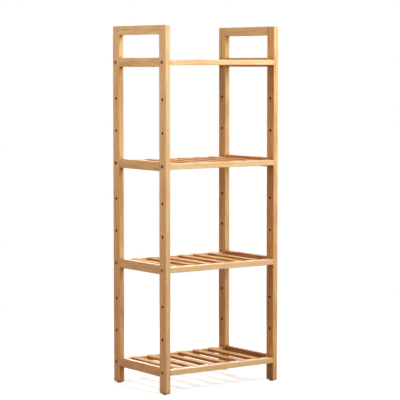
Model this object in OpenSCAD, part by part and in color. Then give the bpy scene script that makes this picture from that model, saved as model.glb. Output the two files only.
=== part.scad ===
// Four-tier slatted storage shelf in solid wood.
// Two ladder frames are joined by four slatted shelves, which are bolted through the posts.
// Lengths are in millimetres. +Z is up, the front faces -Y, and the origin is on the floor,
// under the middle of the shelf.

/* [Overall] */
// Width over the outer faces of the posts
width = 382; // [340:2:480]
// Depth over the front and rear faces of the posts
depth = 260; // [220:2:360]

/* [Levels] */
// Height of the lowest shelf's bolt line above the floor
lowest_shelf = 60; // [50:5:120]
// Rise from one shelf to the next
shelf_pitch = 280; // [240:5:360]
// Rise from the top shelf's bolt line to the top of the posts
top_rise = 100; // [60:5:160]

/* [Posts] */
// Thickness of a post, seen from the front
post_t = 15; // [15:0.5:24]
// Width of a post, seen from the side
post_w = 32; // [26:1:44]
// Radius of the eased long edges of posts and rails
edge_r = 1.5; // [0.5:0.25:2.5]
// Chamfer round both ends of a post
end_chamfer = 1.5; // [0.5:0.25:2.5]

/* [Post holes] */
// Diameter of the holes through the posts
hole_d = 7; // [6.5:0.1:7.5]
// Distance of the holes from the front or rear face
hole_inset = 16; // [12:0.5:17]
// Step from a shelf's hole to each of the two spare holes over it
hole_step = 90; // [60:5:100]

/* [Side rails] */
// Height of a side rail
side_rail_h = 25; // [22:1:32]
// Thickness of a side rail
side_rail_t = 15; // [10:0.5:15]

/* [Front and rear rails] */
// Height of a front or rear rail
cross_rail_h = 15; // [14:0.5:20]
// Depth of a front or rear rail
cross_rail_d = 24; // [22:1:34]

/* [Slats] */
// Width of a slat
slat_w = 22; // [14:1:30]
// Thickness of a slat
slat_t = 8; // [5:0.5:9]
// Length of a slat that rests in each rail
slat_lap = 12; // [6:0.5:16]
// Radius of the eased long edges of a slat
slat_edge_r = 1; // [0.5:0.25:2]
// Gap between a slat and each wall of its pocket
slat_fit = 0.1; // [0.05:0.05:0.4]

/* [Bolts] */
// Diameter of a bolt's shank
bolt_d = 6; // [5:0.5:6]
// Length of a bolt under its head
bolt_l = 35; // [30:1:40]
// Diameter of a bolt's head
bolt_head_d = 10.5; // [9:0.5:13]
// Height of a bolt's head
bolt_head_h = 3.3; // [2.4:0.1:4]
// Height of the straight rim under the dome of a head
bolt_rim_h = 0.6; // [0.3:0.1:1]
// Width across the flats of the hexagon socket
socket_af = 4; // [3:0.5:5]
// Depth of the hexagon socket
socket_depth = 2; // [1:0.1:2.2]

/* [Threaded inserts] */
// Diameter over the outer thread of an insert
insert_d = 9; // [8:0.5:10]
// Length of an insert
insert_l = 13; // [8:1:15]
// Pitch of the outer thread
insert_pitch = 2.6; // [2:0.1:3.5]
// Depth of the outer thread
insert_thread = 0.8; // [0.3:0.1:1]

/* [Dowels] */
// Diameter of a dowel
dowel_d = 6; // [4:0.5:6]
// Length of a dowel
dowel_l = 22; // [14:1:30]
// Distance between the two dowels of a joint
dowel_pitch = 14; // [13.5:0.5:15]

/* [Glides] */
// Diameter of a glide's foot
glide_d = 13; // [9:0.5:14.5]
// Height of a glide's foot
glide_h = 3; // [2:0.5:6]
// Chamfer round a glide's foot
glide_chamfer = 0.8; // [0.2:0.1:1.5]
// Diameter of the pin that holds a glide
glide_pin_d = 3; // [2:0.5:5]
// Length of the pin that holds a glide
glide_pin_l = 14; // [8:1:25]

/* [Fits] */
// Difference in diameter between a round piece and the bore that holds it
bore_fit = 0.1; // [0.05:0.05:0.4]
// Room left past the end of a pin, dowel or bolt in a blind bore
end_room = 1; // [0.5:0.5:3]

/* [Hidden] */

shelf_count = 4;
slat_count = 6;

height = lowest_shelf + (shelf_count - 1) * shelf_pitch + top_rise;
inner_w = width - 2 * post_t;
inner_d = depth - 2 * post_w;
top_rail_z = height - side_rail_h / 2;
slat_gap = (inner_w - slat_count * slat_w) / (slat_count + 1);
slat_l = depth - 2 * (cross_rail_d - slat_lap) - 2 * slat_fit;
bolt_y = depth / 2 - hole_inset;
bolt_bore_d = bolt_d + 2 * bore_fit;
bolt_reach = bolt_l - post_t;
post_x = (width - post_t) / 2;
post_y = (depth - post_w) / 2;
// How far a cutting shape runs past the face that it opens
over = 1;

wood = [0.87, 0.66, 0.43];
steel = [0.62, 0.58, 0.52];
brass = [0.72, 0.58, 0.30];
rubber = [0.10, 0.10, 0.10];

$fn = 64;

function shelf_z(k) = lowest_shelf + (k - 1) * shelf_pitch;
function slat_x(n) = -inner_w / 2 + n * slat_gap + (n - 0.5) * slat_w;

// A rectangle with rounded corners, centred on the origin
module eased_rectangle(w, h, r) {
    square([w - 2 * r, h], center = true);
    square([w, h - 2 * r], center = true);
    for (x = [-1, 1], y = [-1, 1])
        translate([x * (w / 2 - r), y * (h / 2 - r)]) circle(r);
}

// A bar along X, centred on the origin, with eased long edges
module bar_x(l, d, h, r) {
    rotate([90, 0, 90]) linear_extrude(l, center = true) eased_rectangle(d, h, r);
}

// A bar along Y, centred on the origin, with eased long edges
module bar_y(l, t, h, r) {
    rotate([90, 0, 0]) linear_extrude(l, center = true) eased_rectangle(t, h, r);
}

// The outline that a post of the given width keeps once both of its ends are chamfered.
// Its sides stand clear of the post, so that it only cuts the ends.
module end_outline(w) {
    c = end_chamfer;
    clear = 5;
    x_end = w / 2 - c;
    x_side = w / 2 + clear;
    rise = c + clear;
    polygon([
        [-x_end, glide_h], [x_end, glide_h], [x_side, glide_h + rise], [x_side, height - rise],
        [x_end, height], [-x_end, height], [-x_side, height - rise], [-x_side, glide_h + rise]
    ]);
}

module post_blank() {
    intersection() {
        linear_extrude(height) eased_rectangle(post_t, post_w, edge_r);
        rotate([90, 0, 0]) linear_extrude(2 * post_w, center = true) end_outline(post_t);
        rotate([90, 0, 90]) linear_extrude(2 * post_w, center = true) end_outline(post_w);
    }
}

// One hole for each shelf's bolt, and two spare holes over each of the lower shelves
module post_holes() {
    for (k = [1 : shelf_count]) post_hole(shelf_z(k));
    for (k = [1 : shelf_count - 1], n = [1, 2]) post_hole(shelf_z(k) + n * hole_step);
}

module post_hole(z) {
    translate([0, 0, z]) rotate([0, 90, 0]) cylinder(d = hole_d, h = 2 * post_t, center = true);
}

// The bores for two dowels, centred on a rail's end face and running both ways from it
module dowel_bores() {
    for (z = [-1, 1])
        translate([0, 0, z * dowel_pitch / 2]) rotate([90, 0, 0])
            cylinder(d = dowel_d + bore_fit, h = dowel_l + 2 * end_room, center = true);
}

// side is -1 for left and 1 for right, and face is -1 for front and 1 for rear
module post(side, face) {
    color(wood) difference() {
        translate([side * post_x, face * post_y, 0]) post_blank();
        translate([side * post_x, face * bolt_y, 0]) post_holes();
        for (z = concat([for (k = [1 : shelf_count]) shelf_z(k)], [top_rail_z]))
            translate([side * post_x, face * inner_d / 2, z]) dowel_bores();
        translate([side * post_x, face * post_y, glide_h - over])
            cylinder(d = glide_pin_d + bore_fit, h = glide_pin_l + over + end_room);
    }
}

module side_rail(side, z) {
    color(wood) translate([side * post_x, 0, z]) difference() {
        bar_y(inner_d, side_rail_t, side_rail_h, edge_r);
        for (face = [-1, 1]) translate([0, face * inner_d / 2, 0]) dowel_bores();
    }
}

// The bore for an insert and the narrower one past it for the tip of the bolt.
// It starts at the rail's left end and runs along +X.
module insert_bore() {
    rotate([0, 90, 0]) {
        translate([0, 0, -over]) cylinder(d = insert_d + bore_fit, h = insert_l + over);
        cylinder(d = bolt_bore_d, h = bolt_reach + end_room);
    }
}

// Open pockets along the inner top edge, one for the end of each slat
module slat_pockets(face) {
    for (n = [1 : slat_count])
        translate([
            slat_x(n) - slat_w / 2 - slat_fit,
            face * (depth / 2 - cross_rail_d) - (face > 0 ? over : slat_lap),
            cross_rail_h / 2 - slat_t
        ])
            cube([slat_w + 2 * slat_fit, slat_lap + over, slat_t + over]);
}

module cross_rail(face, k) {
    color(wood) translate([0, 0, shelf_z(k)]) difference() {
        translate([0, face * (depth - cross_rail_d) / 2, 0])
            bar_x(inner_w, cross_rail_d, cross_rail_h, edge_r);
        slat_pockets(face);
        for (side = [0, 1])
            mirror([side, 0, 0]) translate([-inner_w / 2, face * bolt_y, 0]) insert_bore();
    }
}

// A slat lies flush with the tops of the front and rear rails
module slat(k, n) {
    color(wood)
        translate([slat_x(n), 0, shelf_z(k) + (cross_rail_h - slat_t) / 2])
            bar_y(slat_l, slat_w, slat_t, slat_edge_r);
}

// Puts a fixing at the four corners of a shelf. It is drawn at the left and points along +X.
module at_corners(x) {
    for (side = [0, 1], face = [-1, 1])
        mirror([side, 0, 0]) translate([-x, face * bolt_y, 0]) rotate([0, 90, 0]) children();
}

// A button head under z = 0: a straight rim, then a dome up to a flat ring round the socket.
// The dome is a sphere that passes through the edge of the rim and the edge of the flat.
module bolt_head() {
    rim_r = bolt_head_d / 2;
    flat_r = socket_af / 2 / cos(30) + 0.5;
    dome_z = (pow(flat_r, 2) + pow(bolt_head_h, 2) - pow(rim_r, 2) - pow(bolt_rim_h, 2))
        / (2 * (bolt_head_h - bolt_rim_h));
    mirror([0, 0, 1]) difference() {
        intersection() {
            cylinder(r = rim_r, h = bolt_head_h);
            translate([0, 0, dome_z]) sphere(norm([rim_r, bolt_rim_h - dome_z]));
        }
        translate([0, 0, bolt_head_h - socket_depth])
            cylinder(d = socket_af / cos(30), h = socket_depth + over, $fn = 6);
    }
}

// A bolt along +Z, with the underside of its head at z = 0
module bolt() {
    tip = 0.8;
    sunk = 0.1;
    bolt_head();
    rotate_extrude()
        polygon([
            [0, -sunk], [bolt_d / 2, -sunk], [bolt_d / 2, bolt_l - tip],
            [bolt_d / 2 - tip, bolt_l], [0, bolt_l]
        ]);
}

// A threaded insert along +Z, with its open end at z = 0. The outer thread is drawn as rings.
module insert() {
    rings = floor((insert_l - insert_pitch / 2) / insert_pitch);
    crest = insert_d / 2;
    root = crest - insert_thread;
    rotate_extrude()
        polygon(concat(
            [[bolt_bore_d / 2, 0], [crest, 0], [crest, insert_pitch / 2]],
            [for (i = [1 : rings]) each [
                [root, (i - 0.2) * insert_pitch],
                [crest, (i + 0.1) * insert_pitch],
                [crest, (i + 0.3) * insert_pitch]
            ]],
            [[root, insert_l], [bolt_bore_d / 2, insert_l]]
        ));
}

// A dowel along Y with chamfered ends, centred on the origin
module dowel() {
    c = 0.8;
    rotate([90, 0, 0]) rotate_extrude()
        polygon([
            [0, -dowel_l / 2], [dowel_d / 2 - c, -dowel_l / 2], [dowel_d / 2, c - dowel_l / 2],
            [dowel_d / 2, dowel_l / 2 - c], [dowel_d / 2 - c, dowel_l / 2], [0, dowel_l / 2]
        ]);
}

// Two dowels at each end of every rail of a side frame
module dowels(side) {
    color(wood)
        for (z = concat([for (k = [1 : shelf_count]) shelf_z(k)], [top_rail_z]))
            for (face = [-1, 1], row = [-1, 1])
                translate([side * post_x, face * inner_d / 2, z + row * dowel_pitch / 2]) dowel();
}

module bolts(k) {
    color(steel) translate([0, 0, shelf_z(k)]) at_corners(width / 2) bolt();
}

module inserts(k) {
    color(brass) translate([0, 0, shelf_z(k)]) at_corners(inner_w / 2) insert();
}

// A nail-on glide under the middle of each post
module glides() {
    color(rubber)
        for (side = [-1, 1], face = [-1, 1])
            translate([side * post_x, face * post_y, 0]) rotate_extrude()
                polygon([
                    [0, 0], [glide_d / 2 - glide_chamfer, 0], [glide_d / 2, glide_chamfer],
                    [glide_d / 2, glide_h], [glide_pin_d / 2, glide_h],
                    [glide_pin_d / 2, glide_h + glide_pin_l - glide_pin_d / 2],
                    [0, glide_h + glide_pin_l]
                ]);
}

post(-1, -1);  // front_left_post
post(1, -1);  // front_right_post
post(-1, 1);  // rear_left_post
post(1, 1);  // rear_right_post
side_rail(-1, top_rail_z);  // left_top_rail
side_rail(1, top_rail_z);  // right_top_rail
for (k = [1 : shelf_count]) {
    side_rail(-1, shelf_z(k));
    side_rail(1, shelf_z(k));
    cross_rail(-1, k);
    cross_rail(1, k);
    for (n = [1 : slat_count])
        slat(k, n);
    bolts(k);
    inserts(k);
}
dowels(-1);  // left_dowels
dowels(1);  // right_dowels
glides();
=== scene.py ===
"""Looks of the storage shelf: its wood, fixings, floor, light and camera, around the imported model."""

import logging
import math
from dataclasses import dataclass
from enum import Enum

import bpy
from mathutils import Euler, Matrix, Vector


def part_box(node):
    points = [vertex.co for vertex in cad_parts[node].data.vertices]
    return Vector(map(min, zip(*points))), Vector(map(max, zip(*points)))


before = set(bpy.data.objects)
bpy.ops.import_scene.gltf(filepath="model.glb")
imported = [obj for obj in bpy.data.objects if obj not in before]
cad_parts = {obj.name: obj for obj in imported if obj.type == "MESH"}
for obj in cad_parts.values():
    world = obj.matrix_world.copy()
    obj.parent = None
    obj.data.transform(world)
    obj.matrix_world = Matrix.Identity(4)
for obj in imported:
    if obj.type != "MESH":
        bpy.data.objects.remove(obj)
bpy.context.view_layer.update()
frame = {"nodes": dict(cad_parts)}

log = logging.getLogger("shelf")

Piece = bpy.types.Object
Node = bpy.types.Node
Socket = bpy.types.NodeSocket
Sockets = dict[str, Socket]
Triple = tuple[float, float, float]
Value = float | tuple[float, ...] | Socket
Colour = tuple[float, float, float, float]
Range = tuple[float, float]
Cuts = tuple[int, int]
# Tone and warmth of one board.
Wood = tuple[float, float]

MM_PER_M = 1000.0
ORIGIN = (0.0, 0.0, 0.0)


def srgb(red: int, green: int, blue: int) -> Colour:
    """Turns a screen colour into the linear colour that shaders use.

    Args:
        red: Red, from 0 to 255.
        green: Green, from 0 to 255.
        blue: Blue, from 0 to 255.

    Returns:
        The linear colour with an alpha of 1.
    """
    parts = []
    for level in (red, green, blue):
        share = level / 255.0
        parts.append(share / 12.92 if share <= 0.04045 else ((share + 0.055) / 1.055) ** 2.4)
    return (parts[0], parts[1], parts[2], 1.0)


class Graph:
    """Adds nodes to one node tree and joins them."""

    def __init__(self, tree: bpy.types.NodeTree) -> None:
        """Keeps the tree that the nodes go into."""
        self.tree = tree

    def add(self, kind: str, **settings: object) -> Node:
        """Adds a node.

        Args:
            kind: Type of the node.
            settings: Properties to set on it.

        Returns:
            The new node.
        """
        node = self.tree.nodes.new(kind)
        for key, value in settings.items():
            setattr(node, key, value)
        return node

    def feed(self, socket: Socket, value: Value) -> None:
        """Joins an output to a socket, or sets the socket's own value.

        Args:
            socket: Input that is fed.
            value: An output, a number or a tuple.
        """
        if isinstance(value, bpy.types.NodeSocket):
            self.tree.links.new(value, socket)
        else:
            socket.default_value = value

    def feed_all(self, node: Node, *values: Value) -> Socket:
        """Feeds a node's inputs from the first one on.

        Args:
            node: The node.
            values: Values of its inputs.

        Returns:
            Its first output.
        """
        for socket, value in zip(node.inputs, values):
            self.feed(socket, value)
        return node.outputs[0]

    def math(self, operation: str, first: Value, second: Value = 0.0, third: Value = 0.0) -> Socket:
        """Adds a Math node, whose operation is Blender's word for it, and returns the result."""
        return self.feed_all(self.add("ShaderNodeMath", operation=operation), first, second, third)

    def vector_math(self, operation: str, first: Value, second: Value) -> Socket:
        """Adds a Vector Math node, whose operation is Blender's word for it, and returns the vector."""
        return self.feed_all(self.add("ShaderNodeVectorMath", operation=operation), first, second)

    def agreement(self, first: Value, second: Value) -> Socket:
        """Returns how far two directions agree, from -1 to 1."""
        return self.vector_math("DOT_PRODUCT", first, second).node.outputs["Value"]

    def length(self, vector: Value) -> Socket:
        """Returns a vector's length."""
        return self.vector_math("LENGTH", vector, ORIGIN).node.outputs["Value"]

    def split(self, vector: Value) -> tuple[Socket, Socket, Socket]:
        """Returns a vector's three parts."""
        node = self.feed_all(self.add("ShaderNodeSeparateXYZ"), vector).node
        return node.outputs[0], node.outputs[1], node.outputs[2]

    def join(self, x: Value, y: Value, z: Value) -> Socket:
        """Returns a vector made of three parts."""
        return self.feed_all(self.add("ShaderNodeCombineXYZ"), x, y, z)

    def noise(self, point: Value, seed: Value, stretch: Triple, detail: float = 2.0) -> Socket:
        """Adds cloudy noise, stretched by a factor for each direction.

        Args:
            point: Where it is read.
            seed: Picks the cloud.
            stretch: Clouds in a unit of length, for each direction.
            detail: Number of finer layers.

        Returns:
            The noise, from about 0.2 to 0.8 with 0.5 in the middle.
        """
        node = self.add("ShaderNodeTexNoise", noise_dimensions="4D")
        self.feed(node.inputs["Vector"], self.vector_math("MULTIPLY", point, stretch))
        self.feed(node.inputs["W"], seed)
        node.inputs["Scale"].default_value = 1.0
        node.inputs["Detail"].default_value = detail
        return node.outputs[0]

    def rise(self, value: Value, span: Range) -> Socket:
        """Returns how far a number is through a range, with soft ends: 0 before it and 1 past it."""
        node = self.add("ShaderNodeMapRange", interpolation_type="SMOOTHSTEP")
        return self.feed_all(node, value, *span, 0.0, 1.0)

    def fall(self, value: Value, span: Range) -> Socket:
        """Returns how much of a range is left, with soft ends: 1 before it and 0 past it."""
        node = self.add("ShaderNodeMapRange", interpolation_type="SMOOTHSTEP")
        return self.feed_all(node, value, *span, 1.0, 0.0)

    def mix(self, share: Value, first: Value, second: Value, mode: str = "MIX") -> Socket:
        """Mixes two colours.

        Args:
            share: Share of the second colour.
            first: First colour.
            second: Second colour.
            mode: How they mix, in Blender's word.

        Returns:
            The mixed colour.
        """
        node = self.add("ShaderNodeMix", data_type="RGBA", blend_type=mode, clamp_factor=True)
        self.feed(node.inputs["Factor"], share)
        self.feed(node.inputs[6], first)
        self.feed(node.inputs[7], second)
        return node.outputs[2]

    def lay(self, base: Value, mask: Value, share: float, coat: Value, mode: str = "MIX") -> Socket:
        """Returns a colour with a coat over it, which shows by its share where the mask is 1."""
        return self.mix(self.math("MULTIPLY", mask, share), base, coat, mode)

    def build_up(self, base: Value, *parts: tuple[Value, float]) -> Socket:
        """Adds masks to a number.

        Args:
            base: Number to start from.
            parts: Each mask, and what it adds where it is 1.

        Returns:
            The sum.
        """
        for mask, amount in parts:
            base = self.math("MULTIPLY_ADD", mask, amount, base)
        return base

    def mix_shaders(self, share: Value, first: Socket, second: Socket) -> Socket:
        """Returns a mix of two shaders, with the given share of the second."""
        return self.feed_all(self.add("ShaderNodeMixShader"), share, first, second)

    def shown(self) -> Socket:
        """Tells what is looked at from what only throws light.

        Returns:
            1 for a look, straight, in a reflection or through glass, and 0 for light on its way.
        """
        path = self.add("ShaderNodeLightPath")
        seen = self.math("MAXIMUM", path.outputs["Is Camera Ray"], path.outputs["Is Glossy Ray"])
        return self.math("MAXIMUM", seen, path.outputs["Is Transmission Ray"])


class Effect:
    """A shader node group that several finishes place, each with its own values."""

    title = ""
    inputs: dict[str, float | Triple] = {}
    outputs: tuple[str, ...] = ()

    def group(self) -> bpy.types.NodeTree:
        """Builds the group the first time that it is asked for.

        Returns:
            The group.
        """
        known = bpy.data.node_groups.get(self.title)
        if known:
            return known
        tree = bpy.data.node_groups.new(self.title, "ShaderNodeTree")
        for name, value in self.inputs.items():
            kind = "NodeSocketVector" if isinstance(value, tuple) else "NodeSocketFloat"
            socket = tree.interface.new_socket(name=name, in_out="INPUT", socket_type=kind)
            socket.default_value = value
        for name in self.outputs:
            tree.interface.new_socket(name=name, in_out="OUTPUT", socket_type="NodeSocketFloat")
        graph = Graph(tree)
        start = graph.add("NodeGroupInput")
        end = graph.add("NodeGroupOutput")
        found = self.build(graph, {name: start.outputs[name] for name in self.inputs})
        for name in self.outputs:
            graph.feed(end.inputs[name], found[name])
        return tree

    def build(self, graph: Graph, given: Sockets) -> Sockets:
        """Adds the group's own nodes, and returns what goes to its outputs."""
        raise NotImplementedError

    def place(self, graph: Graph, **values: Value) -> Sockets:
        """Places the group in a material.

        Args:
            graph: The material's nodes.
            values: Value of each input, named with _ for a space.

        Returns:
            The group's outputs by name.
        """
        node = graph.add("ShaderNodeGroup", node_tree=self.group(), label=self.title)
        for name, value in values.items():
            graph.feed(node.inputs[name.replace("_", " ")], value)
        return {name: node.outputs[name] for name in self.outputs}


class Strips(Effect):
    """Glued strips that a piece is pressed from, each with its own tone and its own growth joints.

    Widths and distances are in millimetres, and stretches in clouds a millimetre.
    """

    title = "Glued strips"
    inputs = {
        "Fibre": ORIGIN,
        "Seed": 0.0,
        "Strip Y": 8.0,
        "Strip Z": 8.0,
        "Joint Pitch": 260.0,
    }
    outputs = ("Tone", "Glue Line", "Joint", "Joint Halo")
    sway_stretch = (0.012, 0.35, 0.35)
    sway_width = 0.5
    bow_stretch = (0.05, 0.22, 0.22)
    bow_depth = 7.0
    glue_fade = (0.06, 0.22)
    joint_fade = (0.35, 1.5)
    halo_fade = (1.0, 7.0)

    def build(self, graph: Graph, given: Sockets) -> Sockets:
        """Adds the cells, the lines between them and the joints along each.

        Args:
            graph: The group's nodes.
            given: The group's inputs.

        Returns:
            What goes to the group's outputs.
        """
        sway = graph.noise(given["Fibre"], given["Seed"], self.sway_stretch, detail=1.0)
        sway = graph.math("MULTIPLY_ADD", sway, self.sway_width, -self.sway_width / 2.0)
        along, side_y, side_z = graph.split(given["Fibre"])
        cells, edges = [], []
        for place, width in ((side_y, given["Strip Y"]), (side_z, given["Strip Z"])):
            count = graph.math("DIVIDE", graph.math("ADD", place, sway), width)
            cells.append(graph.math("FLOOR", count))
            inside = graph.math("FRACT", count)
            nearest = graph.math("MINIMUM", inside, graph.math("SUBTRACT", 1.0, inside))
            edges.append(graph.math("MULTIPLY", nearest, width))
        draw = graph.add("ShaderNodeTexWhiteNoise", noise_dimensions="3D")
        graph.feed(draw.inputs["Vector"], graph.join(cells[0], cells[1], given["Seed"]))
        _, start, _ = graph.split(draw.outputs["Color"])
        bow = graph.noise(given["Fibre"], given["Seed"], self.bow_stretch)
        bowed = graph.math("MULTIPLY_ADD", bow, self.bow_depth, along)
        turns = graph.math("ADD", start, graph.math("DIVIDE", bowed, given["Joint Pitch"]))
        off = graph.math("ABSOLUTE", graph.math("SUBTRACT", graph.math("FRACT", turns), 0.5))
        off = graph.math("MULTIPLY", off, given["Joint Pitch"])
        return {
            "Tone": draw.outputs["Value"],
            "Glue Line": graph.fall(graph.math("MINIMUM", *edges), self.glue_fade),
            "Joint": graph.fall(off, self.joint_fade),
            "Joint Halo": graph.fall(off, self.halo_fade),
        }


class Fibres(Effect):
    """Long fibres: broad tone, streaks that show at arm's length, and fine lines and pores close by.

    Stretches are in clouds a millimetre, along the fibres and across them. A span is the part of a
    noise that shows.
    """

    title = "Wood fibres"
    inputs = {"Fibre": ORIGIN, "Seed": 0.0}
    outputs = ("Tone", "Blush", "Streak", "Line", "Pore", "Height")
    drift_stretch = (0.006, 0.03, 0.03)
    drift_width = 6.0
    tone_stretch = (0.011, 0.07, 0.07)
    tone_span = (0.3, 0.7)
    blush_stretch = (0.016, 0.05, 0.05)
    blush_span = (0.42, 0.68)
    blush_seed = 31.0
    streak_stretch = (0.014, 0.42, 0.42)
    streak_span = (0.36, 0.66)
    line_stretch = (0.030, 2.6, 2.6)
    line_span = (0.3, 0.7)
    pore_stretch = (0.13, 3.8, 3.8)
    pore_span = (0.66, 0.76)
    line_height = 0.6
    streak_height = 0.4
    pore_height = -0.7

    def build(self, graph: Graph, given: Sockets) -> Sockets:
        """Adds noise stretched along the fibres, from broad to fine.

        Args:
            graph: The group's nodes.
            given: The group's inputs.

        Returns:
            What goes to the group's outputs.
        """
        seed = given["Seed"]
        drift = graph.noise(given["Fibre"], seed, self.drift_stretch, detail=1.0)
        drift = graph.math("MULTIPLY_ADD", drift, self.drift_width, -self.drift_width / 2.0)
        point = graph.vector_math("ADD", given["Fibre"], graph.join(0.0, drift, drift))
        tone = graph.noise(point, seed, self.tone_stretch, detail=3.0)
        blush = graph.noise(point, graph.math("ADD", seed, self.blush_seed), self.blush_stretch)
        streak = graph.noise(point, seed, self.streak_stretch, detail=2.5)
        line = graph.noise(point, seed, self.line_stretch)
        pore = graph.rise(graph.noise(point, seed, self.pore_stretch, detail=1.0), self.pore_span)
        height = graph.math("MULTIPLY", streak, self.streak_height)
        return {
            "Tone": graph.rise(tone, self.tone_span),
            "Blush": graph.rise(blush, self.blush_span),
            "Streak": graph.rise(streak, self.streak_span),
            "Line": graph.rise(line, self.line_span),
            "Pore": pore,
            "Height": graph.build_up(height, (line, self.line_height), (pore, self.pore_height)),
        }


class WornEdges(Effect):
    """Edges and corners that hands and cloths have rubbed, where the wood is also paler as a painted
    highlight.
    """

    title = "Worn edges"
    inputs = {"Point": ORIGIN, "Seed": 0.0, "Reach": 0.0015, "Patchiness": 0.5}
    outputs = ("Wear",)
    # Agreement of the real and the rounded surface, from an edge to a flat face.
    edge_to_face = (0.80, 0.985)
    patch_stretch = (0.06, 0.06, 0.06)
    patch_span = (0.35, 0.65)

    def build(self, graph: Graph, given: Sockets) -> Sockets:
        """Compares the surface with itself rounded off, and breaks up the line that this gives.

        Args:
            graph: The group's nodes.
            given: The group's inputs.

        Returns:
            What goes to the group's outputs.
        """
        rounded = graph.add("ShaderNodeBevel", samples=4)
        graph.feed(rounded.inputs["Radius"], given["Reach"])
        true = graph.add("ShaderNodeNewGeometry").outputs["Normal"]
        edge = graph.fall(graph.agreement(rounded.outputs[0], true), self.edge_to_face)
        patch = graph.noise(given["Point"], given["Seed"], self.patch_stretch, detail=3.0)
        patch = graph.rise(patch, self.patch_span)
        kept = graph.math("SUBTRACT", 1.0, given["Patchiness"])
        patch = graph.math("MULTIPLY_ADD", patch, given["Patchiness"], kept)
        return {"Wear": graph.math("MULTIPLY", edge, patch)}


class PaintedCornerShade(Effect):
    """Painted shade in inner corners and narrow gaps, darker the more the surface is closed in."""

    title = "Painted corner shade"
    inputs = {"Point": ORIGIN, "Seed": 0.0, "Reach": 0.02}
    outputs = ("Painted Shade",)
    patch_stretch = (0.15, 0.15, 0.15)
    patch_share = 0.16
    # Openness of the surface, from full painted shade to none.
    shaded_to_open = (0.5, 0.98)

    def build(self, graph: Graph, given: Sockets) -> Sockets:
        """Measures how closed in the surface is, and breaks up the edge of the painted shade.

        Args:
            graph: The group's nodes.
            given: The group's inputs.

        Returns:
            What goes to the group's outputs.
        """
        closed = graph.add("ShaderNodeAmbientOcclusion", samples=6)
        graph.feed(closed.inputs["Distance"], given["Reach"])
        patch = graph.noise(given["Point"], given["Seed"], self.patch_stretch)
        openness = graph.math("MULTIPLY_ADD", patch, self.patch_share, closed.outputs["AO"])
        return {"Painted Shade": graph.fall(openness, self.shaded_to_open)}


class Film(Effect):
    """Slightly uneven film of lacquer, plating or moulded skin."""

    title = "Uneven film"
    inputs = {"Point": ORIGIN, "Seed": 0.0, "Grain Size": 1.0}
    outputs = ("Unevenness", "Height")
    wave_stretch = (0.08, 0.08, 0.08)
    wave_span = (0.3, 0.7)
    wave_height = 0.7
    grain_stretch = (1.6, 1.6, 1.6)
    grain_height = 0.3

    def build(self, graph: Graph, given: Sockets) -> Sockets:
        """Adds slow waves of the film and its fine grain.

        Args:
            graph: The group's nodes.
            given: The group's inputs.

        Returns:
            What goes to the group's outputs.
        """
        fine = graph.vector_math("DIVIDE", given["Point"], given["Grain Size"])
        waves = graph.noise(given["Point"], given["Seed"], self.wave_stretch)
        grain = graph.noise(fine, given["Seed"], self.grain_stretch)
        height = graph.math("MULTIPLY", waves, self.wave_height)
        return {
            "Unevenness": graph.rise(waves, self.wave_span),
            "Height": graph.build_up(height, (grain, self.grain_height)),
        }


class Scuffs(Effect):
    """Short scuffs and fine scratches in every direction."""

    title = "Scuffs"
    inputs = {"Point": ORIGIN, "Seed": 0.0, "Amount": 0.5}
    outputs = ("Scuff",)
    stretches = ((0.25, 5.0, 5.0), (5.0, 0.25, 5.0), (5.0, 5.0, 0.25))
    seed_step = 1.7
    scuff_span = (0.62, 0.75)

    def build(self, graph: Graph, given: Sockets) -> Sockets:
        """Adds three sets of thin lines that cross each other.

        Args:
            graph: The group's nodes.
            given: The group's inputs.

        Returns:
            What goes to the group's outputs.
        """
        sets = []
        for turn, stretch in enumerate(self.stretches):
            seed = graph.math("ADD", given["Seed"], self.seed_step * turn)
            lines = graph.noise(given["Point"], seed, stretch, detail=1.0)
            sets.append(graph.rise(lines, self.scuff_span))
        most = graph.math("MAXIMUM", graph.math("MAXIMUM", sets[0], sets[1]), sets[2])
        return {"Scuff": graph.math("MULTIPLY", most, given["Amount"])}


class DrilledHoles(Effect):
    """Masks of the bolt holes' walls and of a ring around each mouth, where shade is painted.

    The rows repeat at each shelf: the shelf's own hole, and two spare ones above it. Sizes are in
    millimetres.
    """

    title = "Drilled holes"
    inputs = {
        "Point": ORIGIN,
        "Column": 114.0,
        "Lowest Shelf": 60.0,
        "Shelf Pitch": 280.0,
        "Hole Step": 90.0,
        "Highest Shelf": 900.0,
        "Radius": 3.5,
    }
    outputs = ("Wall", "Shade Ring")
    wall_fade = (0.02, 0.14)
    ring_fade = (0.1, 1.1)
    # Distance below the highest shelf's holes at which the rows end.
    top_fade = (-8.0, -7.0)

    def build(self, graph: Graph, given: Sockets) -> Sockets:
        """Finds how far a point is from the nearest hole's middle.

        Args:
            graph: The group's nodes.
            given: The group's inputs.

        Returns:
            What goes to the group's outputs.
        """
        _, deep, high = graph.split(given["Point"])
        across = graph.math("SUBTRACT", graph.math("ABSOLUTE", deep), given["Column"])
        above = graph.math("SUBTRACT", high, given["Lowest Shelf"])
        step, pitch = given["Hole Step"], given["Shelf Pitch"]
        in_bay = graph.math("FLOORED_MODULO", above, pitch)
        upright = graph.math("ABSOLUTE", in_bay)
        for row in (step, graph.math("MULTIPLY", step, 2.0), pitch):
            gap = graph.math("ABSOLUTE", graph.math("SUBTRACT", in_bay, row))
            upright = graph.math("MINIMUM", upright, gap)
        far = graph.length(graph.join(across, upright, 0.0))
        far = graph.math("SUBTRACT", far, given["Radius"])
        below = graph.math("SUBTRACT", given["Highest Shelf"], high)
        in_rows = graph.rise(below, self.top_fade)
        return {
            "Wall": graph.math("MULTIPLY", graph.fall(far, self.wall_fade), in_rows),
            "Shade Ring": graph.math("MULTIPLY", graph.fall(far, self.ring_fade), in_rows),
        }


STRIPS, FIBRES, WORN_EDGES = Strips(), Fibres(), WornEdges()
FILM, SCUFFS, DRILLED_HOLES, PAINTED_CORNER_SHADE = Film(), Scuffs(), DrilledHoles(), PaintedCornerShade()


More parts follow.
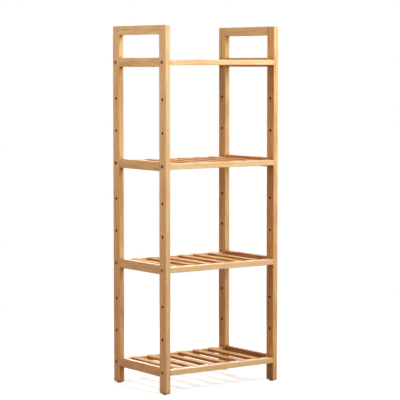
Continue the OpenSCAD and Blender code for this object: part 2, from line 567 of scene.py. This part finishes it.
class Grain(Enum):
    """Way that a piece's fibres run, as the turn that brings them to x."""

    SIDEWAYS = (0.0, 0.0, 0.0)
    FRONT_TO_BACK = (0.0, 0.0, -math.pi / 2)
    UPRIGHT = (0.0, math.pi / 2, 0.0)


@dataclass(frozen=True)
class Board:
    """How a wooden piece is cut.

    Attributes:
        grain: Way that its fibres run.
        cuts: Number of strips across its two short sides.
        seed: Picks its figure.
        tone: How dark the board is: 0 for pale, 1 for deep, and a little past either for a few.
        warmth: How much amber it has, from 0 to 1.
        drilled: True for a post, with bolt holes.
    """

    grain: Grain
    cuts: Cuts
    seed: float
    tone: float
    warmth: float
    drilled: bool = False


@dataclass(frozen=True)
class Surface:
    """A new material with its shader, and where its patterns are read.

    Attributes:
        material: The material.
        graph: Its nodes.
        shader: Its Principled shader.
        output: Where the shader goes.
        point: Place on the object, in millimetres.
    """

    material: bpy.types.Material
    graph: Graph
    shader: Node
    output: Node
    point: Socket

    @staticmethod
    def new(name: str) -> "Surface":
        """Makes an empty material with one shader.

        Args:
            name: Name of the material.

        Returns:
            The surface.
        """
        material = bpy.data.materials.new(name)
        material.use_nodes = True
        material.node_tree.nodes.clear()
        graph = Graph(material.node_tree)
        shader = graph.add("ShaderNodeBsdfPrincipled")
        output = graph.add("ShaderNodeOutputMaterial")
        graph.feed(output.inputs["Surface"], shader.outputs["BSDF"])
        place = graph.add("ShaderNodeTexCoord").outputs["Object"]
        point = graph.vector_math("MULTIPLY", place, (MM_PER_M, MM_PER_M, MM_PER_M))
        return Surface(material, graph, shader, output, point)

    def bump(self, height: Socket, depth: float, strength: float) -> None:
        """Gives the surface a fine relief.

        Args:
            height: Height, from 0 to 1.
            depth: What a height of 1 stands for, in metres.
            strength: Share of it that shows.
        """
        node = self.graph.add("ShaderNodeBump")
        node.inputs["Distance"].default_value = depth
        node.inputs["Strength"].default_value = strength
        self.graph.feed(node.inputs["Height"], height)
        self.graph.feed(self.shader.inputs["Normal"], node.outputs["Normal"])

    def cover(self, node: Piece, colour: Socket, rough: Socket) -> None:
        """Finishes the shader and puts the material in each of a piece's slots.

        Args:
            node: The piece.
            colour: Colour of the surface.
            rough: Its roughness.
        """
        self.graph.feed(self.shader.inputs["Base Color"], colour)
        self.graph.feed(self.shader.inputs["Roughness"], rough)
        for slot in node.material_slots:
            slot.material = self.material


@dataclass(frozen=True)
class Skin:
    """Outer skin of a piece: its uneven film, its rubbed edges and its scuffs.

    Attributes:
        relief: Depth of its relief, in metres.
        strength: Share of the relief that shows.
        reach: Width of the rubbed edges, in metres.
        patchiness: How far the rubbing comes and goes, from 0 to 1.
        grain: Size of the film's grain, in millimetres.
        scuffs: How many scuffs there are, from 0 to 1.
    """

    relief: float
    strength: float
    reach: float
    patchiness: float
    grain: float = 1.0
    scuffs: float = 0.0

    def place(self, surface: Surface, seed: float) -> Sockets:
        """Places the skin's patterns in a material.

        Args:
            surface: The material.
            seed: Picks the patterns.

        Returns:
            The patterns by name.
        """
        graph, spot = surface.graph, {"Point": surface.point, "Seed": seed}
        marks = FILM.place(graph, **spot, Grain_Size=self.grain)
        marks |= WORN_EDGES.place(graph, **spot, Reach=self.reach, Patchiness=self.patchiness)
        if self.scuffs:
            marks |= SCUFFS.place(graph, **spot, Amount=self.scuffs)
        return marks


@dataclass(frozen=True)
class Shares:
    """How strongly each mark shows in the wood.

    Attributes:
        strip: A strip's own tone.
        fibre: Broad tone along the fibres.
        streak: Streaks.
        blush: Redder patches.
        pore: Pores.
        line: Fine lines.
        halo: Paler bands beside a growth joint.
        joint: Growth joints.
        glue: Lines between strips.
        rubbed: Rubbed edges, paler also as a painted highlight.
        painted_shade: Painted shade in inner corners and narrow gaps.
        end: Ends cut across the fibres.
        ring: Painted shade in a ring around a hole's mouth.
    """

    strip: float = 0.3
    fibre: float = 0.34
    streak: float = 0.8
    blush: float = 0.5
    pore: float = 0.35
    line: float = 0.16
    halo: float = 0.12
    joint: float = 0.2
    glue: float = 0.45
    rubbed: float = 0.4
    painted_shade: float = 0.75
    end: float = 0.45
    ring: float = 0.9


@dataclass(frozen=True)
class Dulling:
    """What each mark adds to the roughness of the wood.

    Attributes:
        film: Uneven lacquer, over its whole range.
        pore: Pores.
        rubbed: Rubbed edges, which are smoother.
        end: Ends cut across the fibres.
        wall: Walls of the holes.
    """

    film: float = 0.12
    pore: float = 0.15
    rubbed: float = -0.1
    end: float = 0.2
    wall: float = 0.4


@dataclass(frozen=True)
class WoodFinish:
    """Light wood pressed from strips, under a clear satin lacquer.

    Attributes:
        pale: Colour of its lightest boards.
        mid: Colour of the ones between.
        deep: Colour of its deep boards and streaks.
        dark: Colour of the darkest boards.
        rosy: Tint of its redder patches.
        amber: Tint of its warmest boards.
        glue: Colour of the lines between strips.
        hole_shade: Colour of the painted shade on the holes' walls and in the ring around their mouths.
        worn_and_highlight: Colour of rubbed edges, paler also as a painted highlight along the arrises.
        painted_shade: Colour of the painted shade in inner corners and narrow gaps.
        turns: Depths of tone over which pale turns to mid, mid to deep, and deep to dark.
        base_depth: Depth of a board whose tone is 0, before its marks add to it.
        shares: How strongly each mark shows.
        roughness: Roughness of the wood itself.
        dulling: What each mark adds to it.
        gleam: Strength of the wood's own reflection.
        sheen: Weight of the lacquer over it.
        sheen_roughness: Roughness of the lacquer.
        joint_pitch: Distance between growth joints along a strip, in millimetres.
        margin: Width by which the outer strips go past the faces, in millimetres.
        skin: Skin of the lacquer.
        film_height: Height of the lacquer's waves beside the grain's.
        joint_height: Height of the growth joints beside the grain's.
        glue_height: Height of the lines between strips beside the grain's.
        painted_shade_reach: Distance that the painted shade reaches out of a corner, in metres.
        side_to_end: How far the surface faces along the fibres, from a side to a cut end.
    """

    pale: Colour = srgb(252, 223, 166)
    mid: Colour = srgb(240, 202, 140)
    deep: Colour = srgb(197, 133, 74)
    dark: Colour = srgb(128, 68, 30)
    rosy: Colour = srgb(252, 230, 222)
    amber: Colour = srgb(255, 241, 220)
    glue: Colour = srgb(150, 90, 46)
    hole_shade: Colour = srgb(112, 20, 0)
    worn_and_highlight: Colour = srgb(251, 226, 180)
    painted_shade: Colour = srgb(150, 82, 36)
    turns: tuple[Range, Range, Range] = ((-0.2, 0.6), (0.35, 1.35), (1.1, 2.1))
    base_depth: float = -0.72
    shares: Shares = Shares()
    roughness: float = 0.5
    dulling: Dulling = Dulling()
    gleam: float = 0.2
    sheen: float = 0.25
    sheen_roughness: float = 0.38
    joint_pitch: float = 265.0
    margin: float = 0.4
    skin: Skin = Skin(0.00008, strength=0.5, reach=0.0016, patchiness=0.6)
    film_height: float = 0.25
    joint_height: float = 0.5
    glue_height: float = -0.5
    painted_shade_reach: float = 0.02
    side_to_end: Range = (0.5, 0.85)

    def dress(self, node: Piece, board: Board) -> None:
        """Gives a wooden piece its own board of this wood.

        Args:
            node: The piece.
            board: How it is cut.
        """
        surface = Surface.new(f"wood_{node.name}")
        graph, seed = surface.graph, board.seed
        fibre, size = self.fibre_space(surface, board.grain, node)
        strips = STRIPS.place(
            graph,
            Fibre=fibre,
            Seed=seed,
            Strip_Y=(size.y + 2.0 * self.margin) / board.cuts[0],
            Strip_Z=(size.z + 2.0 * self.margin) / board.cuts[1],
            Joint_Pitch=self.joint_pitch,
        )
        fibres = FIBRES.place(graph, Fibre=fibre, Seed=seed)
        skin = self.skin.place(surface, seed)
        corners = PAINTED_CORNER_SHADE.place(graph, Point=surface.point, Seed=seed, Reach=self.painted_shade_reach)
        end = self.cut_ends(graph, board.grain)
        share, dulling = self.shares, self.dulling
        depth = graph.build_up(
            board.tone + self.base_depth,
            (strips["Tone"], share.strip),
            (fibres["Tone"], share.fibre),
            (fibres["Streak"], share.streak),
        )
        colour = self.pale
        for span, tone in zip(self.turns, (self.mid, self.deep, self.dark)):
            colour = graph.mix(graph.rise(depth, span), colour, tone)
        colour = graph.lay(colour, fibres["Blush"], share.blush, self.rosy, "MULTIPLY")
        colour = graph.mix(board.warmth, colour, self.amber, "MULTIPLY")
        fine = graph.math("MULTIPLY", fibres["Line"], share.line)
        fine = graph.build_up(fine, (fibres["Pore"], share.pore))
        colour = graph.mix(fine, colour, self.glue)
        for mask, most, coat in (
            (strips["Joint Halo"], share.halo, self.pale),
            (strips["Joint"], share.joint, self.glue),
            (strips["Glue Line"], share.glue, self.glue),
            # Rubbed edges, paler also as a painted highlight along the arrises.
            (skin["Wear"], share.rubbed, self.worn_and_highlight),
            # Painted shade in inner corners and narrow gaps.
            (corners["Painted Shade"], share.painted_shade, self.painted_shade),
            (end, share.end, self.deep),
        ):
            colour = graph.lay(colour, mask, most, coat)
        rough = graph.build_up(
            self.roughness - dulling.film / 2.0,
            (skin["Unevenness"], dulling.film),
            (fibres["Pore"], dulling.pore),
            (skin["Wear"], dulling.rubbed),
            (end, dulling.end),
        )
        surface.shader.inputs["Coat Weight"].default_value = self.sheen
        surface.shader.inputs["Coat Roughness"].default_value = self.sheen_roughness
        surface.shader.inputs["Specular IOR Level"].default_value = self.gleam
        if board.drilled:
            holes = DRILLED_HOLES.place(graph, Point=surface.point)
            # Painted shade on the holes' walls and in a ring around each mouth.
            colour = graph.lay(colour, holes["Shade Ring"], share.ring, self.hole_shade)
            colour = graph.mix(holes["Wall"], colour, self.hole_shade)
            rough = graph.build_up(rough, (holes["Wall"], dulling.wall))
            bare = graph.build_up(self.sheen, (holes["Wall"], -self.sheen))
            graph.feed(surface.shader.inputs["Coat Weight"], bare)
        height = graph.build_up(
            fibres["Height"],
            (skin["Height"], self.film_height),
            (strips["Joint"], self.joint_height),
            (strips["Glue Line"], self.glue_height),
        )
        surface.bump(height, self.skin.relief, self.skin.strength)
        surface.cover(node, colour, rough)
        log.info("%s dressed in wood", node.name)

    def fibre_space(self, surface: Surface, grain: Grain, node: Piece) -> tuple[Socket, Vector]:
        """Turns places on the object so that x runs along the fibres, from a corner of the piece.

        Args:
            surface: The material.
            grain: Way that the fibres run.
            node: The piece.

        Returns:
            The turned place, in millimetres, and the piece's turned size.
        """
        turn = Euler(grain.value).to_matrix()
        ends = [turn @ (corner * MM_PER_M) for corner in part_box(node.name)]
        start = Vector(min(a, b) for a, b in zip(*ends))
        size = Vector(abs(a - b) for a, b in zip(*ends))
        turned = surface.graph.add("ShaderNodeMapping", vector_type="POINT")
        turned.inputs["Rotation"].default_value = grain.value
        turned.inputs["Location"].default_value = Vector((0.0, self.margin, self.margin)) - start
        surface.graph.feed(turned.inputs["Vector"], surface.point)
        return turned.outputs[0], size

    def cut_ends(self, graph: Graph, grain: Grain) -> Socket:
        """Finds the ends that are cut across the fibres.

        Args:
            graph: The material's nodes.
            grain: Way that the fibres run.

        Returns:
            A mask that is 1 on the ends.
        """
        along = Euler(grain.value).to_matrix().inverted() @ Vector((1.0, 0.0, 0.0))
        facing = graph.add("ShaderNodeNewGeometry").outputs["True Normal"]
        end = graph.math("ABSOLUTE", graph.agreement(facing, tuple(along)))
        return graph.rise(end, self.side_to_end)


@dataclass(frozen=True)
class MetalFinish:
    """Plated metal of a fixing.

    Attributes:
        name: Name of the finish.
        bright: Colour of the plating.
        dull: Colour where it has tarnished.
        recess_shade: Colour of the painted shade in the recess for the key and around it.
        roughness: Roughness of clean plating.
        recess: Radius of the recess, in millimetres.
        recess_shade_share: How much of the painted shade shows around the recess.
        film_dulling: What tarnish adds to the roughness.
        recess_dulling: What the recess adds to it.
        scuff_dulling: What scuffs add to it.
        scuff_height: Height of a scuff beside the skin's grain.
        skin: Skin of the plating.
    """

    name: str
    bright: Colour
    dull: Colour
    recess_shade: Colour
    roughness: float
    recess: float
    recess_shade_share: float = 0.85
    film_dulling: float = 0.12
    recess_dulling: float = 0.4
    scuff_dulling: float = 0.2
    scuff_height: float = -0.5
    skin: Skin = Skin(0.00003, strength=0.4, reach=0.0005, patchiness=0.4, grain=0.5, scuffs=0.6)

    def dress(self, node: Piece, seed: float) -> None:
        """Gives a metal piece this finish.

        Args:
            node: The piece.
            seed: Picks the pattern.
        """
        surface = Surface.new(f"{self.name}_{node.name}")
        graph, marks = surface.graph, self.skin.place(surface, seed)
        core = DRILLED_HOLES.place(graph, Point=surface.point, Radius=self.recess)
        colour = graph.mix(marks["Unevenness"], self.bright, self.dull)
        colour = graph.mix(marks["Wear"], colour, self.bright)
        # Painted shade in the key's recess and in a ring around it.
        colour = graph.lay(colour, core["Shade Ring"], self.recess_shade_share, self.recess_shade)
        colour = graph.mix(core["Wall"], colour, self.recess_shade)
        rough = graph.build_up(
            self.roughness,
            (marks["Unevenness"], self.film_dulling),
            (core["Wall"], self.recess_dulling),
            (marks["Scuff"], self.scuff_dulling),
        )
        surface.shader.inputs["Metallic"].default_value = 1.0
        height = graph.build_up(marks["Height"], (marks["Scuff"], self.scuff_height))
        surface.bump(height, self.skin.relief, self.skin.strength)
        surface.cover(node, colour, rough)
        log.info("%s dressed in %s", node.name, self.name)


@dataclass(frozen=True)
class PlasticFinish:
    """Moulded plastic of the glides, scuffed by the floor.

    Attributes:
        body: Colour of the plastic.
        scuffed: Colour where the floor has rubbed it.
        scuffed_share: How much of that colour shows.
        roughness: Roughness of the clean skin.
        film_dulling: What the uneven skin adds to the roughness.
        scuff_dulling: What scuffs add to it.
        skin: Skin of the plastic.
    """

    body: Colour = srgb(38, 34, 31)
    scuffed: Colour = srgb(96, 90, 84)
    scuffed_share: float = 0.5
    roughness: float = 0.48
    film_dulling: float = 0.1
    scuff_dulling: float = 0.25
    skin: Skin = Skin(0.00004, strength=0.5, reach=0.0008, patchiness=0.7, grain=0.35, scuffs=0.8)

    def dress(self, node: Piece, seed: float) -> None:
        """Gives a plastic piece this finish.

        Args:
            node: The piece.
            seed: Picks the pattern.
        """
        surface = Surface.new(f"plastic_{node.name}")
        graph, marks = surface.graph, self.skin.place(surface, seed)
        rubbed = graph.math("MAXIMUM", marks["Scuff"], marks["Wear"])
        colour = graph.lay(self.body, rubbed, self.scuffed_share, self.scuffed)
        uneven = (marks["Unevenness"], self.film_dulling)
        rough = graph.build_up(self.roughness, uneven, (rubbed, self.scuff_dulling))
        surface.bump(marks["Height"], self.skin.relief, self.skin.strength)
        surface.cover(node, colour, rough)
        log.info("%s dressed in plastic", node.name)


BOLT_STEEL = MetalFinish(
    "steel",
    bright=srgb(176, 128, 84),
    dull=srgb(138, 96, 60),
    recess_shade=srgb(20, 8, 2),
    roughness=0.45,
    recess=2.9,
)
INSERT_ZINC = MetalFinish(
    "zinc",
    bright=srgb(205, 186, 132),
    dull=srgb(150, 134, 92),
    recess_shade=srgb(90, 78, 52),
    roughness=0.38,
    recess=2.45,
)
RAIL_WOOD = WoodFinish()
SLAT_WOOD = WoodFinish(
    gleam=0.03,
    sheen=0.06,
    roughness=0.62,
    # Darker painted shade that reaches further, into the gaps between the slats.
    painted_shade=srgb(138, 68, 26),
    painted_shade_reach=0.045,
)
DOWEL_WOOD = WoodFinish(sheen=0.0, roughness=0.7)
GLIDE_PLASTIC = PlasticFinish()


@dataclass
class SideFrame:
    """One side of the shelf: two drilled posts, the top rail, four side rails and their dowels.

    Attributes:
        side: Side of the shelf, left or right.
        posts: Tone and warmth of the front and the rear post.
        rails: Tone and warmth of the side rails, from the lowest.
        top: Tone and warmth of the top rail.
        first_seed: Seed of the first piece.
        seed_step: Step from one piece's seed to the next.
        dowels: Tone and warmth of the dowels.
        post_cuts: Strips across a post's width and thickness.
        rail_cuts: Strips across a rail's thickness and height.
        dowel_cuts: Strips across a dowel, which is turned from one.
    """

    side: str
    posts: tuple[Wood, Wood]
    rails: tuple[Wood, Wood, Wood, Wood]
    top: Wood
    first_seed: float
    seed_step: float = 7.3
    dowels: Wood = (0.4, 0.3)
    post_cuts: Cuts = (2, 2)
    rail_cuts: Cuts = (2, 2)
    dowel_cuts: Cuts = (1, 1)

    def dress(self, nodes: dict[str, Piece]) -> None:
        """Gives each piece its wood.

        Args:
            nodes: The model's pieces by name.
        """
        seed = self.first_seed
        for end, wood in zip(("front", "rear"), self.posts):
            board = Board(Grain.UPRIGHT, self.post_cuts, seed, *wood, drilled=True)
            RAIL_WOOD.dress(nodes[f"{end}_{self.side}_post"], board)
            seed += self.seed_step
        rails = {"top_rail": self.top}
        for level, wood in enumerate(self.rails, 1):
            rails[f"rail_{level}"] = wood
        for name, wood in rails.items():
            board = Board(Grain.FRONT_TO_BACK, self.rail_cuts, seed, *wood)
            RAIL_WOOD.dress(nodes[f"{self.side}_{name}"], board)
            seed += self.seed_step
        board = Board(Grain.FRONT_TO_BACK, self.dowel_cuts, seed, *self.dowels)
        DOWEL_WOOD.dress(nodes[f"{self.side}_dowels"], board)


@dataclass
class ShelfPanel:
    """One shelf: a front and a rear rail, the slats between them, and its bolts and inserts.

    Attributes:
        level: Number of the shelf, from 1 at the bottom.
        front: Tone and warmth of the front rail.
        rear: Tone and warmth of the rear rail.
        slat_tones: Tones of the slats, from the left.
        first_seed: Seed of the first piece.
        seed_step: Step from one wooden piece's seed to the next.
        insert_step: Step from the bolts' seed to the inserts'.
        slat_warmth: Warmth of the slats.
        rail_cuts: Strips across a rail's depth and height.
        slat_cuts: Strips across a slat's width and thickness.
    """

    level: int
    front: Wood
    rear: Wood
    slat_tones: tuple[float, ...]
    first_seed: float
    seed_step: float = 5.9
    insert_step: float = 1.0
    slat_warmth: float = 0.6
    rail_cuts: Cuts = (3, 2)
    slat_cuts: Cuts = (3, 1)

    def dress(self, nodes: dict[str, Piece]) -> None:
        """Gives each piece its wood or metal.

        Args:
            nodes: The model's pieces by name.
        """
        seed = self.first_seed
        for face, wood in (("front", self.front), ("rear", self.rear)):
            board = Board(Grain.SIDEWAYS, self.rail_cuts, seed, *wood)
            RAIL_WOOD.dress(nodes[f"{face}_rail_{self.level}"], board)
            seed += self.seed_step
        for number, tone in enumerate(self.slat_tones, 1):
            board = Board(Grain.FRONT_TO_BACK, self.slat_cuts, seed, tone, self.slat_warmth)
            SLAT_WOOD.dress(nodes[f"shelf_{self.level}_slat_{number}"], board)
            seed += self.seed_step
        BOLT_STEEL.dress(nodes[f"bolts_{self.level}"], seed)
        INSERT_ZINC.dress(nodes[f"inserts_{self.level}"], seed + self.insert_step)


@dataclass
class Glides:
    """The four nail-on glides under the posts.

    Attributes:
        seed: Seed of their scuffs.
    """

    seed: float = 211.0

    def dress(self, nodes: dict[str, Piece]) -> None:
        """Gives the glides their plastic."""
        GLIDE_PLASTIC.dress(nodes["glides"], self.seed)


@dataclass(frozen=True)
class Lamp:
    """Soft flat lamp.

    Attributes:
        name: Name of the lamp.
        place: Where it is, in metres.
        aim: Where it points.
        size: Its width and height, in metres.
        watts: Its power.
        tint: Its colour.
    """

    name: str
    place: Triple
    aim: Triple
    size: tuple[float, float]
    watts: float
    tint: Triple

    def build(self) -> None:
        """Makes the lamp."""
        data = bpy.data.lights.new(self.name, "AREA")
        data.shape = "RECTANGLE"
        data.size, data.size_y = self.size
        data.energy = self.watts
        data.color = self.tint
        lamp = bpy.data.objects.new(self.name, data)
        lamp.location = self.place
        lamp.rotation_euler = (Vector(self.aim) - lamp.location).to_track_quat("-Z", "Y").to_euler()
        lamp.visible_camera = False
        bpy.context.scene.collection.objects.link(lamp)


@dataclass
class Studio:
    """Pale floor, white surroundings and soft lamps.

    Attributes:
        lamps: The lamps.
        floor_side: Side of the floor, in metres.
        shade_reach: Distances from the shelf over which its shadow fades, in metres.
        paper: Colour of the floor where it is seen.
        paper_as_light: Colour of the floor for the light that it throws back.
        paper_glow: Light that lifts the seen floor near to white.
        paper_roughness: Roughness of the floor.
        ambient: Strength of the surroundings' own light.
        ambient_tint: Colour of that light.
    """

    lamps: tuple[Lamp, ...] = (
        Lamp("key", (0.25, -1.55, 1.6), (0.0, 0.0, 0.75), (0.8, 0.8), 21.5, (0.96, 0.93, 0.92)),
        Lamp("high", (0.35, -1.3, 2.1), (0.0, 0.0, 0.7), (0.7, 0.7), 12.5, (0.84, 0.92, 0.96)),
        Lamp("card", (1.05, -1.55, 1.1), (0.0, 0.0, 0.9), (0.9, 0.35), 5.0, (0.65, 0.85, 1.0)),
        Lamp("top", (0.0, 0.0, 2.2), (0.0, 0.0, 0.0), (1.0, 1.0), 3.0, (1.0, 0.85, 0.76)),
        Lamp("left", (-1.2, -0.05, 1.28), (0.0, 0.0, 0.75), (0.5, 1.1), 8.3, (1.0, 0.88, 0.86)),
        Lamp("low", (-0.8, -0.1, 0.25), (0.0, 0.0, 0.3), (0.3, 0.3), 0.45, (1.0, 0.36, 0.16)),
        Lamp("bounce", (0.0, -1.6, 0.25), (0.0, 0.0, 0.3), (0.8, 0.8), 3.6, (1.0, 0.44, 0.26)),
        Lamp("right", (1.15, 0.0, 1.5), (0.0, 0.0, 0.6), (0.6, 0.6), 6.0, (1.0, 0.86, 0.78)),
        Lamp("back", (0.8, 1.9, 0.75), (0.0, 0.0, 0.55), (1.2, 1.2), 21.0, (1.0, 0.9, 0.84)),
    )
    floor_side: float = 60.0
    shade_reach: Range = (0.64, 1.6)
    paper: Colour = srgb(240, 240, 240)
    paper_as_light: Colour = srgb(120, 88, 62)
    paper_glow: float = 0.6
    paper_roughness: float = 0.9
    ambient: float = 0.02
    ambient_tint: Colour = srgb(255, 214, 172)

    def build(self) -> None:
        """Makes the floor, the surroundings and the lamps."""
        self.floor()
        self.surroundings()
        for lamp in self.lamps:
            lamp.build()
        log.info("studio ready")

    def floor(self) -> None:
        """Makes the floor, a flat square of paper under the glides."""
        half = self.floor_side / 2.0
        mesh = bpy.data.meshes.new("floor")
        corners = [(-half, -half, 0.0), (half, -half, 0.0), (half, half, 0.0), (-half, half, 0.0)]
        mesh.from_pydata(corners, [], [(0, 1, 2, 3)])
        plane = bpy.data.objects.new("floor", mesh)
        bpy.context.scene.collection.objects.link(plane)
        mesh.materials.append(self.floor_paper())

    def floor_paper(self) -> bpy.types.Material:
        """Makes the floor's paper: white around the shadow, dim to the wood, and clear from below.

        Returns:
            The material.
        """
        surface = Surface.new("floor_paper")
        graph, shader = surface.graph, surface.shader
        shown = graph.shown()
        graph.feed(shader.inputs["Base Color"], graph.mix(shown, self.paper_as_light, self.paper))
        shader.inputs["Roughness"].default_value = self.paper_roughness
        shader.inputs["Specular IOR Level"].default_value = 0.0
        glow = graph.add("ShaderNodeEmission")
        graph.feed(glow.inputs["Strength"], graph.math("MULTIPLY", shown, self.paper_glow))
        near = graph.feed_all(graph.add("ShaderNodeAddShader"), shader.outputs["BSDF"], glow.outputs[0])
        white = graph.add("ShaderNodeEmission").outputs[0]
        start, end = self.shade_reach
        far = graph.rise(graph.length(surface.point), (start * MM_PER_M, end * MM_PER_M))
        above = graph.mix_shaders(graph.math("MULTIPLY", far, shown), near, white)
        below = graph.add("ShaderNodeBsdfTransparent").outputs[0]
        facing_down = graph.add("ShaderNodeNewGeometry").outputs["Backfacing"]
        graph.feed(surface.output.inputs["Surface"], graph.mix_shaders(facing_down, above, below))
        return surface.material

    def surroundings(self) -> None:
        """Makes the surroundings: white to the camera, and a dim warm light to the wood."""
        world = bpy.data.worlds.new("surroundings")
        bpy.context.scene.world = world
        world.use_nodes = True
        world.node_tree.nodes.clear()
        graph = Graph(world.node_tree)
        seen = graph.add("ShaderNodeBackground")
        seen.inputs["Color"].default_value = (1.0, 1.0, 1.0, 1.0)
        lit = graph.add("ShaderNodeBackground")
        lit.inputs["Color"].default_value = self.ambient_tint
        lit.inputs["Strength"].default_value = self.ambient
        output = graph.add("ShaderNodeOutputWorld")
        blend = graph.mix_shaders(graph.shown(), lit.outputs[0], seen.outputs[0])
        graph.feed(output.inputs["Surface"], blend)


@dataclass
class Viewpoint:
    """Camera at the photograph's viewing angle.

    Attributes:
        place: Where it is, in metres.
        heading: Turn to the right from straight ahead, in degrees.
        dip: How far it looks down, in degrees.
        lens: Focal length, in millimetres.
        sensor: Width of the sensor, in millimetres.
        far: Distance up to which it sees, in metres.
    """

    place: Triple = (-2.86002, -4.00743, 0.89990)
    heading: float = 35.658
    dip: float = 4.474
    lens: float = 158.27
    sensor: float = 36.0
    far: float = 200.0

    def build(self) -> None:
        """Makes the camera and gives it to the scene."""
        data = bpy.data.cameras.new("view")
        data.lens = self.lens
        data.sensor_width = self.sensor
        data.clip_end = self.far
        camera = bpy.data.objects.new("view", data)
        camera.location = self.place
        camera.rotation_euler = (math.radians(90.0 - self.dip), 0.0, math.radians(-self.heading))
        bpy.context.scene.collection.objects.link(camera)
        bpy.context.scene.camera = camera
        log.info("camera ready")


# Tone and warmth of each board of the side frames, from the front and from the lowest.
SIDE_FRAMES = (
    SideFrame(
        "left",
        posts=((0.17, 0.05), (0.16, 0.65)),
        rails=((0.28, 0.3), (0.25, 0.2), (0.31, 0.1), (0.33, 0.0)),
        top=(0.22, 0.0),
        first_seed=3.0,
    ),
    # Its boards are deeper and warmer than the left frame's, most of all the lowest rails: painted
    # shade on its inner faces.
    SideFrame(
        "right",
        posts=((0.42, 0.75), (0.22, 0.4)),
        rails=((1.45, 1.0), (1.2, 1.0), (1.0, 1.0), (0.85, 1.0)),
        top=(0.2, 0.0),
        first_seed=61.0,
    ),
)
# Level, front rail, rear rail, tones of the slats from the left, and first seed of each shelf.
SHELF_PANELS = (
    # The front rails grow paler towards the bottom, painted light; the slats are deeper than the frame,
    # painted shade.
    ShelfPanel(1, (-0.4, 0.0), (0.5, 0.6), (0.75, 0.65, 0.85, 0.7, 0.8, 0.75), 157.0),
    ShelfPanel(2, (-0.2, 0.0), (0.55, 0.6), (0.7, 0.8, 0.65, 0.75, 0.7, 0.85), 214.0),
    ShelfPanel(3, (0.08, 0.0), (0.5, 0.6), (0.8, 0.7, 0.75, 0.85, 0.65, 0.75), 271.0),
    ShelfPanel(4, (0.3, 0.0), (0.5, 0.6), (0.7, 0.75, 0.65, 0.8, 0.75, 0.65), 328.0),
)


def main() -> None:
    """Builds the scene, piece by piece."""
    logging.basicConfig(level=logging.INFO, format="%(message)s")
    bpy.context.scene.view_settings.view_transform = "Standard"
    nodes = frame["nodes"]
    for part in (*SIDE_FRAMES, *SHELF_PANELS, Glides()):
        part.dress(nodes)
    Studio().build()
    Viewpoint().build()


if __name__ == "__main__":
    main()
